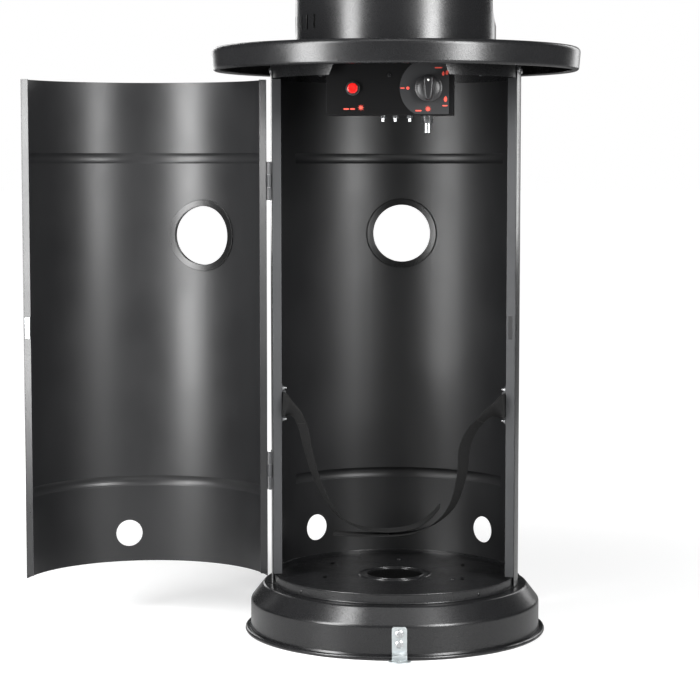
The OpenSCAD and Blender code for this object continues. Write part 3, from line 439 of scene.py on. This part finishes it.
def igniter_button(finishes):
    """A domed push button with a finger hollow."""
    r = 7.5 * MM
    top = 7.3 * MM
    edge = 0.9 * MM
    hollow = [(r * 0.70, top + edge * 0.45), (r * 0.45, top + edge * 0.1), (r * 0.2, top - edge * 0.1),
              (r * 0.04, top - edge * 0.15)]
    profile = [(r, -9.5 * MM), (r, top - edge)] + fillet((r - edge, top - edge), edge, 0, 70) + hollow
    bm = bmesh.new()
    lathe(bm, profile, lambda x, z, out: on_panel(BUTTON_X + x, CONTROL_Z + z, out))
    piece = new_piece("push_button", bm, finishes["red_plastic"], "button")
    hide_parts("igniter_button")


def control_knob(finishes):
    """A moulded knob: a finely fluted skirt, a cone and a tapered grip bar with rounded shoulders."""
    back = 5.6 * MM
    skirt_r = 20 * MM
    skirt_h = 5 * MM
    edge = 1.0 * MM
    flutes = 40
    bm = bmesh.new()

    def turned(x, z, out):
        return on_panel(KNOB_X + x, CONTROL_Z + z, out)

    profile = [(skirt_r - edge, back)] + fillet((skirt_r - edge, back + edge), edge, -90, 0, 3)
    profile += fillet((skirt_r - edge, back + skirt_h - edge), edge, 0, 90, 4)
    profile += [(17.2 * MM, back + skirt_h + 1.2 * MM), (15.6 * MM, back + skirt_h + 3.0 * MM),
                (4 * MM, back + skirt_h + 3.1 * MM)]
    lathe(bm, profile, turned, segments=flutes * 6, wave=lambda a: 1 - 0.010 * (1 + math.cos(a * flutes)))
    half_w = 7.0 * MM
    taper = 1.5 * MM
    half_l = 17.2 * MM
    layers = [(1.00, skirt_h), (1.00, skirt_h + 4 * MM), (0.97, skirt_h + 8 * MM), (0.92, 15.5 * MM),
              (0.84, 17.2 * MM), (0.72, 17.9 * MM), (0.45, 18.0 * MM)]
    rows = []
    for size, out in layers:
        row = []
        inset = (1 - size) * half_w
        for i in range(64):
            a = 2 * math.pi * i / 64
            c, s = math.cos(a), math.sin(a)
            z = math.copysign(abs(s) ** 0.55, s) * (half_l - inset)
            x = math.copysign(abs(c) ** 0.35, c) * (half_w - inset + taper * z / half_l)
            row.append(bm.verts.new(turned(x, z, back + out)))
        rows.append(row)
    grid_faces(bm, rows, closed_columns=True)
    bm.faces.new(rows[0])
    bm.faces.new(rows[-1])
    piece = new_piece("gas_knob", bm, finishes["black_plastic"], "knob")
    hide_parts("control_knob")


def flat_mark(bm, outline, lift, thickness):
    """A thin printed shape on the panel; the outline's points are (x, z) in metres."""
    front = [bm.verts.new(on_panel(x, z, lift + thickness)) for x, z in outline]
    back = [bm.verts.new(on_panel(x, z, lift)) for x, z in outline]
    bm.faces.new(front)
    bm.faces.new(list(reversed(back)))
    for i in range(len(outline)):
        n = (i + 1) % len(outline)
        bm.faces.new((front[i], front[n], back[n], back[i]))


def star(x, z, size, rays=8):
    points = []
    for i in range(2 * rays):
        r = size if i % 2 == 0 else size * 0.34
        a = math.pi * i / rays
        points.append((x + r * math.cos(a), z + r * math.sin(a)))
    return points


def bar(x, z, width, height):
    half = height / 2
    points = []
    for side in (1, -1):
        for i in range(7):
            a = -math.pi / 2 + math.pi * i / 6
            points.append((x + side * (width / 2 - half + half * math.cos(a)), z + side * half * math.sin(a)))
    return points


def flame(x, z, height):
    """A drop shape with a pointed, slightly bent tip."""
    points = []
    for i in range(20):
        a = 2 * math.pi * i / 20
        width = 0.30 * height * math.sin(a) * (1 - 0.55 * max(0, math.cos(a)))
        points.append((x + width + 0.08 * height * max(0, math.cos(a)) ** 2, z + 0.5 * height * math.cos(a)))
    return points


def panel_marks(finishes):
    """Generic printed signs: a spark, flames, dots and plain bars in place of words."""
    thickness = 0.12 * MM
    bm = bmesh.new()
    box_signs = [star(-42.2, 801, 5.0), bar(-63.6, 799, 8, 1.9), bar(-54.4, 799, 7, 1.9)]
    dial_signs = [bar(18.5, 829, 6, 1.5), bar(26.3, 829, 4.7, 4.6), bar(70.8, 858.4, 11, 1.5),
                  flame(77.6, 850, 6.5), flame(83.0, 851.5, 7.5), flame(81.1, 813.3, 8.4),
                  bar(80.6, 803.5, 7.5, 1.6), star(55.7, 798.8, 5.0), bar(41.8, 796.4, 9, 1.8)]
    for signs, lift in ((box_signs, 0), (dial_signs, PLATE_T)):
        for outline in signs:
            flat_mark(bm, [(x * MM, z * MM) for x, z in outline], lift, thickness)
    new_piece("panel_signs", bm, finishes["red_print"], "heater", smooth=False)


# ---- Emitter gauze ----

def tube_along(bm, points, radius, sides=6, closed=False):
    """A thin round wire through a list of points."""
    rows = []
    count = len(points)
    for i, point in enumerate(points):
        before = points[(i - 1) % count] if closed or i > 0 else point
        after = points[(i + 1) % count] if closed or i < count - 1 else point
        along = (after - before).normalized()
        side = along.orthogonal().normalized() if abs(along.z) > 0.9 else along.cross(Vector((0, 0, 1))).normalized()
        up = side.cross(along)
        ring = []
        for k in range(sides):
            a = 2 * math.pi * k / sides
            ring.append(bm.verts.new(point + radius * (math.cos(a) * side + math.sin(a) * up)))
        rows.append(ring)
    grid_faces(bm, rows, closed_rows=closed, closed_columns=True)
    if not closed:
        bm.faces.new(rows[0])
        bm.faces.new(rows[-1])


def emitter_gauze(finishes):
    """The woven wire cylinder that glows behind the emitter's slots."""
    wire_r = 0.45 * MM
    gauze_r = EMITTER_R - 3.4 * MM
    low, high = DECK_Z + 3 * MM, DECK_Z + EMITTER_H - 2 * MM
    uprights = 96
    rings = 34
    bm = bmesh.new()
    for i in range(uprights):
        a = 2 * math.pi * i / uprights
        points = []
        for k in range(rings + 1):
            r = gauze_r + wire_r * (1 if (i + k) % 2 else -1)
            points.append(Vector((r * math.cos(a), r * math.sin(a), low + (high - low) * k / rings)))
        tube_along(bm, points, wire_r, sides=5)
    for k in range(rings):
        z = low + (high - low) * (k + 0.5) / rings
        points = []
        for i in range(uprights):
            a = 2 * math.pi * i / uprights
            points.append(Vector((gauze_r * math.cos(a), gauze_r * math.sin(a), z)))
        tube_along(bm, points, wire_r, sides=5, closed=True)
    new_piece("emitter_gauze", bm, finishes["stainless"], "heater")


# ---- Strap webbing ----

def curve_point(a, b, c, d, u):
    return ((-u + 2 * u * u - u * u * u) * a + (2 - 5 * u * u + 3 * u * u * u) * b
            + (u + 4 * u * u - 3 * u * u * u) * c + (-u * u + u * u * u) * d) / 2


def strap_frames(route, turn, step_mm=1.5):
    """Points along a strap, with the direction across it, as the CAD model lays it."""
    p = [Vector(point) * MM for point in route]
    last = len(p) - 1
    frames = []
    for i in range(last):
        steps = max(2, round((p[i + 1] - p[i]).length / (step_mm * MM)))
        for k in range(steps):
            u = k / steps
            corners = (p[max(i - 1, 0)], p[i], p[i + 1], p[min(i + 2, last)])
            frames.append((curve_point(*corners, u), (i + u) / last))
    frames.append((p[last], 1.0))
    made = []
    for n, (point, share) in enumerate(frames):
        before = frames[max(n - 1, 0)][0]
        after = frames[min(n + 1, len(frames) - 1)][0]
        along = (after - before).normalized()
        lean = min(1, max(0, (share * last - 0.6) / 2.6))
        want = (1 - lean) * Vector((0, 0, 1)) + lean * Vector((turn * (1 - share), -1, 0))
        across = (want - want.dot(along) * along).normalized()
        made.append((point, along, across))
    return made


def ribbon(bm, frames, width, thickness, lift, relief):
    """A closed band along the frames. relief(distance, share) raises both faces by a small height."""
    columns = 37
    rows = []
    distance = 0
    for n, (point, along, across) in enumerate(frames):
        if n:
            distance += (point - frames[n - 1][0]).length
        up = along.cross(across)
        row = []
        for side in (1, -1):
            for c in range(columns):
                share = c / (columns - 1) if side > 0 else 1 - c / (columns - 1)
                edge = min(1, 6 * min(share, 1 - share) + 0.35)
                height = thickness / 2 * edge + relief(distance, share)
                row.append(bm.verts.new(point + (share - 0.5) * width * across + (lift + side * height) * up))
        rows.append(row)
    grid_faces(bm, rows, closed_columns=True)
    bm.faces.new(rows[0])
    bm.faces.new(rows[-1])


def woven(distance, share):
    """Twill ribs: raised yarns that step sideways along the strap."""
    yarn = math.sin(math.pi * 18 * share) ** 2
    step = 0.5 + 0.5 * math.sin(2 * math.pi * (distance / (3.2 * MM) + 9 * abs(share - 0.5)))
    return 0.16 * MM * yarn * (0.55 + 0.45 * step)


def bristled(generator):
    """The rough face of hook-and-loop tape."""
    def height(distance, share):
        return 0.35 * MM * generator.random() if 0.04 < share < 0.96 else 0.1 * MM
    return height


def stitch_line(bm, frames, offset, lift, start, end):
    """Short raised threads along the strap, between two distances from its end."""
    stitch = 3.2 * MM
    gap = 1.0 * MM
    distance = 0
    points = []
    for n, (point, along, across) in enumerate(frames):
        if n:
            distance += (point - frames[n - 1][0]).length
        up = along.cross(across)
        if start <= distance <= end:
            phase = distance % (stitch + gap)
            if phase < stitch:
                arch = math.sin(math.pi * phase / stitch) * 0.25 * MM
                points.append(point + offset * across + (lift + arch) * up)
                continue
        if len(points) > 1:
            tube_along(bm, points, 0.28 * MM, sides=5)
        points = []
    if len(points) > 1:
        tube_along(bm, points, 0.28 * MM, sides=5)


def cross_stitches(bm, frames, distance_at, lift):
    """A row of threads straight across the strap at one distance from its end."""
    distance = 0
    for n, (point, along, across) in enumerate(frames[1:], 1):
        distance += (point - frames[n - 1][0]).length
        if distance < distance_at:
            continue
        up = along.cross(across)
        for k in range(-3, 4):
            middle = point + k * 4.2 * MM * across + lift * up
            ends = [middle - 1.5 * MM * across, middle + 0.25 * MM * up, middle + 1.5 * MM * across]
            tube_along(bm, ends, 0.28 * MM, sides=5)
        return


def bottle_strap(finishes, name, cad_node, route, turn, seed):
    """Half of the strap that holds the bottle: webbing, a sewn loop end and a hook-and-loop end."""
    frames = strap_frames(route, turn)
    bm = bmesh.new()
    ribbon(bm, frames, STRAP_W, STRAP_T, 0, woven)
    band = new_piece(name, bm, finishes["webbing"], "heater")
    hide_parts(cad_node)
    fine = strap_frames(route, turn, 0.5)
    bm = bmesh.new()
    face = STRAP_T / 2 + 0.25 * MM
    for side in (1, -1):
        for offset in (-15 * MM, 15 * MM):
            stitch_line(bm, fine, offset, side * face, 16 * MM, 62 * MM)
        for at in (17 * MM, 61 * MM):
            cross_stitches(bm, fine, at, side * face)
    new_piece(name + "_stitches", bm, finishes["thread"], "heater")
    tape_steps = 60
    tape = frames[-tape_steps:-3]
    bm = bmesh.new()
    ribbon(bm, tape, STRAP_W - 7 * MM, 1.0 * MM, STRAP_T / 2 + 0.5 * MM, bristled(random.Random(seed)))
    new_piece(name + "_hook_tape", bm, finishes["hook_tape"], "heater")


# ---- Scene ----

bpy.context.scene.view_settings.view_transform = "Standard"
make_camera()
light_studio()
pale_world()
lay_floor()
all_finishes = make_finishes()
finish_frame(all_finishes)
igniter_button(all_finishes)
control_knob(all_finishes)
panel_marks(all_finishes)
emitter_gauze(all_finishes)
bottle_strap(all_finishes, "left_webbing", "strap_left", STRAP_LEFT_ROUTE, 0.9, SEED)
bottle_strap(all_finishes, "right_webbing", "strap_right", STRAP_RIGHT_ROUTE, -0.9, SEED + 1)
